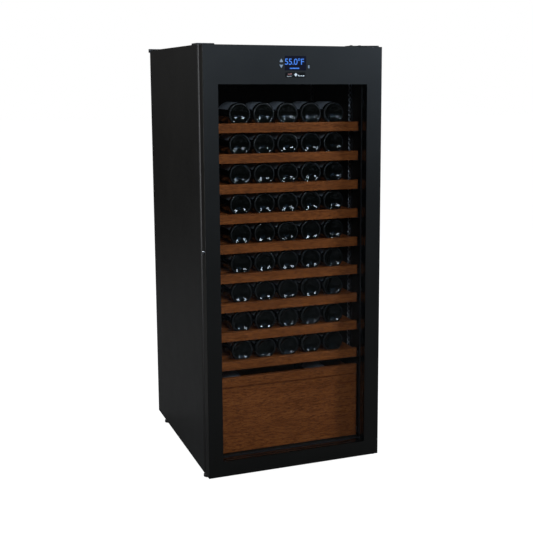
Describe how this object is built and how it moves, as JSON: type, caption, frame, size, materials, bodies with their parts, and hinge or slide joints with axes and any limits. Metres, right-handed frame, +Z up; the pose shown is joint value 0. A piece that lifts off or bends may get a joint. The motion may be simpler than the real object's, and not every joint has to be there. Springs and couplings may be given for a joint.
{
  "type": "wine cooler",
  "caption": "Tall free-standing wine cooler with a tinted glass door, wooden bottle shelves on side runners and a bottle drawer at the bottom.",
  "frame": {"origin": "on the floor under the middle of the footprint", "axes": "+Z up, -Y out of the door, +X to the hinge side as seen from the front"},
  "size_m": [0.61, 0.728, 1.4064],
  "materials": {
    "cabinet_paint": "satin",
    "door_paint": "satin",
    "black_plastic": "satin",
    "gloss_black": "gloss",
    "liner_plastic": "satin",
    "foam": "matte",
    "track_steel": "satin",
    "fin_aluminium": "satin",
    "compressor_paint": "satin",
    "copper_pipe": "satin",
    "lamp_lens": "satin",
    "chrome": "polished",
    "tinted_glass": "gloss",
    "spacer": "satin",
    "seal_rubber": "matte",
    "display": "gloss",
    "badge_metal": "satin",
    "key_metal": "satin",
    "fan_plastic": "satin",
    "beech": "satin",
    "bottle_glass": "gloss",
    "foot_plastic": "matte"
  },
  "bodies": {
    "cabinet": {"side_panel_left": "cabinet_paint", "side_panel_right": "cabinet_paint", "top_panel": "cabinet_paint", "rear_top_trim": "black_plastic", "back_panel": "cabinet_paint", "base_pan": "black_plastic", "inner_liner": "liner_plastic", "insulation_foam": "foam", "shelf_tracks": "track_steel", "fixed_runners": "track_steel", "duct_cover": "liner_plastic", "evaporator": "fin_aluminium", "compressor": "compressor_paint", "condenser_coil": "fin_aluminium", "refrigerant_pipes": "copper_pipe", "power_box": "black_plastic", "rear_grille": "cabinet_paint", "light_bar": "lamp_lens", "hinge_plates": "track_steel", "hinge_screws": "chrome", "spare_hinge_cover": "black_plastic"},
    "door": {"door_frame": "door_paint", "door_core": "gloss_black", "glass_panes": "tinted_glass", "glass_spacer": "spacer", "door_gasket": "seal_rubber", "display_window": "display", "badge_plate": "badge_metal", "lock_body": "chrome"},
    "lock_plug": {"lock_plug": "chrome"},
    "key_up": {"key_up": "key_metal"},
    "key_down": {"key_down": "key_metal"},
    "key_light": {"key_light": "key_metal"},
    "drawer": {"drawer_front": "beech", "drawer_bin": "beech", "drawer_bottles": "bottle_glass"},
    "evaporator_fan": {"evaporator_fan": "fan_plastic"},
    "condenser_fan": {"condenser_fan": "fan_plastic"},
    "shelf_1": {"shelf_1": "beech", "bottles_1": "bottle_glass"},
    "shelf_2": {"shelf_2": "beech", "bottles_2": "bottle_glass"},
    "shelf_3": {"shelf_3": "beech", "bottles_3": "bottle_glass"},
    "shelf_4": {"shelf_4": "beech", "bottles_4": "bottle_glass"},
    "shelf_5": {"shelf_5": "beech", "bottles_5": "bottle_glass"},
    "shelf_6": {"shelf_6": "beech", "bottles_6": "bottle_glass"},
    "shelf_7": {"shelf_7": "beech", "bottles_7": "bottle_glass"},
    "shelf_8": {"shelf_8": "beech", "bottles_8": "bottle_glass"},
    "shelf_9": {"shelf_9": "beech", "bottles_9": "bottle_glass"},
    "foot_front_left": {"foot_front_left": "foot_plastic"},
    "foot_front_right": {"foot_front_right": "foot_plastic"},
    "foot_rear_left": {"foot_rear_left": "foot_plastic"},
    "foot_rear_right": {"foot_rear_right": "foot_plastic"}
  },
  "joints": [
    {"name": "door_hinge", "type": "hinge", "parent": "cabinet", "child": "door", "pos_m": [0.285, -0.343, 0.71], "axis": [0, 0, 1], "range_deg": [0, 120]},
    {"name": "lock_turn", "type": "hinge", "parent": "door", "child": "lock_plug", "pos_m": [-0.3, -0.342, 0.761], "axis": [1, 0, 0], "range_deg": [0, 90]},
    {"name": "key_up_press", "type": "slide", "parent": "door", "child": "key_up", "axis": [0, 1, 0], "range_m": [0, 0.0008], "stiffness_N_per_m": 1200, "springref_m": -0.0004},
    {"name": "key_down_press", "type": "slide", "parent": "door", "child": "key_down", "axis": [0, 1, 0], "range_m": [0, 0.0008], "stiffness_N_per_m": 1200, "springref_m": -0.0004},
    {"name": "key_light_press", "type": "slide", "parent": "door", "child": "key_light", "axis": [0, 1, 0], "range_m": [0, 0.0008], "stiffness_N_per_m": 1200, "springref_m": -0.0004},
    {"name": "shelf_1_slide", "type": "slide", "parent": "cabinet", "child": "shelf_1", "axis": [0, -1, 0], "range_m": [0, 0.28]},
    {"name": "shelf_2_slide", "type": "slide", "parent": "cabinet", "child": "shelf_2", "axis": [0, -1, 0], "range_m": [0, 0.28]},
    {"name": "shelf_3_slide", "type": "slide", "parent": "cabinet", "child": "shelf_3", "axis": [0, -1, 0], "range_m": [0, 0.28]},
    {"name": "shelf_4_slide", "type": "slide", "parent": "cabinet", "child": "shelf_4", "axis": [0, -1, 0], "range_m": [0, 0.28]},
    {"name": "shelf_5_slide", "type": "slide", "parent": "cabinet", "child": "shelf_5", "axis": [0, -1, 0], "range_m": [0, 0.28]},
    {"name": "shelf_6_slide", "type": "slide", "parent": "cabinet", "child": "shelf_6", "axis": [0, -1, 0], "range_m": [0, 0.28]},
    {"name": "shelf_7_slide", "type": "slide", "parent": "cabinet", "child": "shelf_7", "axis": [0, -1, 0], "range_m": [0, 0.28]},
    {"name": "shelf_8_slide", "type": "slide", "parent": "cabinet", "child": "shelf_8", "axis": [0, -1, 0], "range_m": [0, 0.28]},
    {"name": "shelf_9_slide", "type": "slide", "parent": "cabinet", "child": "shelf_9", "axis": [0, -1, 0], "range_m": [0, 0.28]},
    {"name": "drawer_slide", "type": "slide", "parent": "cabinet", "child": "drawer", "axis": [0, -1, 0], "range_m": [0, 0.28]},
    {"name": "evaporator_fan_spin", "type": "hinge", "parent": "cabinet", "child": "evaporator_fan", "pos_m": [0, 0.29, 1.228], "axis": [0, 1, 0], "continuous": true},
    {"name": "condenser_fan_spin", "type": "hinge", "parent": "cabinet", "child": "condenser_fan", "pos_m": [-0.112, 0.2215, 0.111], "axis": [1, 0, 0], "continuous": true},
    {"name": "foot_front_left_turn", "type": "hinge", "parent": "cabinet", "child": "foot_front_left", "pos_m": [-0.282, -0.284, 0.01], "axis": [0, 0, 1], "continuous": true},
    {"name": "foot_front_right_turn", "type": "hinge", "parent": "cabinet", "child": "foot_front_right", "pos_m": [0.282, -0.284, 0.01], "axis": [0, 0, 1], "continuous": true},
    {"name": "foot_rear_left_turn", "type": "hinge", "parent": "cabinet", "child": "foot_rear_left", "pos_m": [-0.282, 0.274, 0.01], "axis": [0, 0, 1], "continuous": true},
    {"name": "foot_rear_right_turn", "type": "hinge", "parent": "cabinet", "child": "foot_rear_right", "pos_m": [0.282, 0.274, 0.01], "axis": [0, 0, 1], "continuous": true}
  ],
  "couplings": [
    {"joint": "shelf_1_slide", "follows": "door_hinge", "m_per_rad": 0.046},
    {"joint": "shelf_2_slide", "follows": "door_hinge", "m_per_rad": 0.046},
    {"joint": "shelf_3_slide", "follows": "door_hinge", "m_per_rad": 0.046},
    {"joint": "shelf_4_slide", "follows": "door_hinge", "m_per_rad": 0.046},
    {"joint": "shelf_5_slide", "follows": "door_hinge", "m_per_rad": 0.046},
    {"joint": "shelf_6_slide", "follows": "door_hinge", "m_per_rad": 0.046},
    {"joint": "shelf_7_slide", "follows": "door_hinge", "m_per_rad": 0.046},
    {"joint": "shelf_8_slide", "follows": "door_hinge", "m_per_rad": 0.046},
    {"joint": "shelf_9_slide", "follows": "door_hinge", "m_per_rad": 0.046},
    {"joint": "drawer_slide", "follows": "door_hinge", "m_per_rad": 0.046}
  ]
}
